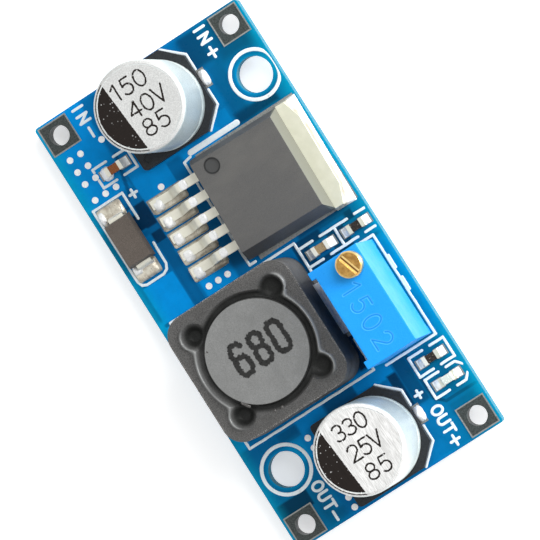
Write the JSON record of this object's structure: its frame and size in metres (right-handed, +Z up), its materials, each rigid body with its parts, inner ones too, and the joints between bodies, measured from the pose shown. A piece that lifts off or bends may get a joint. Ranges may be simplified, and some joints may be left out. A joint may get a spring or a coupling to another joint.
{
  "type": "buck converter module",
  "caption": "Adjustable step-down voltage converter on a small blue circuit board, with filter capacitors, power inductor, regulator and multi-turn trimmer.",
  "frame": {"origin": "centre of the board's outline, on its underside (solder side)", "axes": "+X along the board from the input end to the output end, +Y across it from the minus side to the plus side, +Z up out of the component side"},
  "size_m": [0.0432, 0.021, 0.014],
  "materials": {
    "solder_mask": "glossy blue solder mask over glass-fibre board",
    "tinned_pad": "dull tin",
    "solder": "bright solder",
    "legend_ink": "matt white ink",
    "can_aluminium": "fine-grained satin",
    "base_plastic": "black moulded plastic",
    "tinned_lead": "satin tin",
    "shield_ferrite": "rough fired ferrite",
    "drum_ferrite": "ground ferrite",
    "copper_wire": "enamelled copper",
    "glue": "cured epoxy glue",
    "regulator_epoxy": "moulded epoxy",
    "trimmer_plastic": "semi-gloss blue plastic",
    "brass": "turned brass",
    "ring_rubber": "black rubber",
    "wheel_plastic": "natural nylon",
    "ceramic": "white alumina",
    "track_ink": "cermet film",
    "diode_epoxy": "moulded epoxy",
    "resistor_black": "glassy overcoat",
    "capacitor_tan": "fired ceramic",
    "capacitor_brown": "fired ceramic",
    "lamp_clear": "clear epoxy",
    "lamp_carrier": "pale laminate"
  },
  "bodies": {
    "module": {"board": "solder_mask", "terminal_in_plus": "tinned_pad", "terminal_in_minus": "tinned_pad", "terminal_out_plus": "tinned_pad", "terminal_out_minus": "tinned_pad", "solder_lands": "tinned_pad", "solder_joints": "solder", "via_plugs": "solder", "printed_outlines": "legend_ink", "input_capacitor_can": "can_aluminium", "input_capacitor_base": "base_plastic", "input_capacitor_lead_minus": "tinned_lead", "input_capacitor_lead_plus": "tinned_lead", "output_capacitor_can": "can_aluminium", "output_capacitor_base": "base_plastic", "output_capacitor_lead_minus": "tinned_lead", "output_capacitor_lead_plus": "tinned_lead", "inductor_shield": "shield_ferrite", "inductor_drum": "drum_ferrite", "inductor_winding": "copper_wire", "inductor_glue": "glue", "inductor_base": "base_plastic", "inductor_terminal_front": "tinned_lead", "inductor_terminal_rear": "tinned_lead", "regulator_body": "regulator_epoxy", "regulator_tab": "tinned_lead", "regulator_lead_1": "tinned_lead", "regulator_lead_2": "tinned_lead", "regulator_lead_4": "tinned_lead", "regulator_lead_5": "tinned_lead", "trimmer_housing": "trimmer_plastic", "trimmer_seal": "trimmer_plastic", "trimmer_element": "ceramic", "trimmer_track": "track_ink", "trimmer_pin_1": "tinned_lead", "trimmer_pin_2": "tinned_lead", "trimmer_pin_3": "tinned_lead", "diode_body": "diode_epoxy", "diode_lead_cathode": "tinned_lead", "diode_lead_anode": "tinned_lead", "divider_resistor_body": "resistor_black", "divider_resistor_ends": "tinned_lead", "divider_capacitor_body": "capacitor_tan", "divider_capacitor_ends": "tinned_lead", "input_filter_capacitor_body": "capacitor_brown", "input_filter_capacitor_ends": "tinned_lead", "lamp_resistor_body": "resistor_black", "lamp_resistor_ends": "tinned_lead", "lamp_lens": "lamp_clear", "lamp_base": "lamp_carrier", "lamp_ends": "tinned_lead"},
    "adjusting_screw": {"trimmer_screw": "brass", "trimmer_o_ring": "ring_rubber"},
    "wiper_wheel": {"trimmer_wheel": "wheel_plastic", "trimmer_wiper": "brass"}
  },
  "joints": [
    {"name": "adjusting_screw_turn", "type": "hinge", "parent": "module", "child": "adjusting_screw", "pos_m": [0.00361, 0.0081, 0.01303], "axis": [0, 0, 1], "range_deg": [-4500, 4500]},
    {"name": "wiper_wheel_turn", "type": "hinge", "parent": "module", "child": "wiper_wheel", "pos_m": [0.00732, 0.0081, 0.00692], "axis": [0, 1, 0], "range_deg": [-150, 150]}
  ],
  "couplings": [
    {"joint": "wiper_wheel_turn", "follows": "adjusting_screw_turn", "ratio": -0.033333}
  ]
}
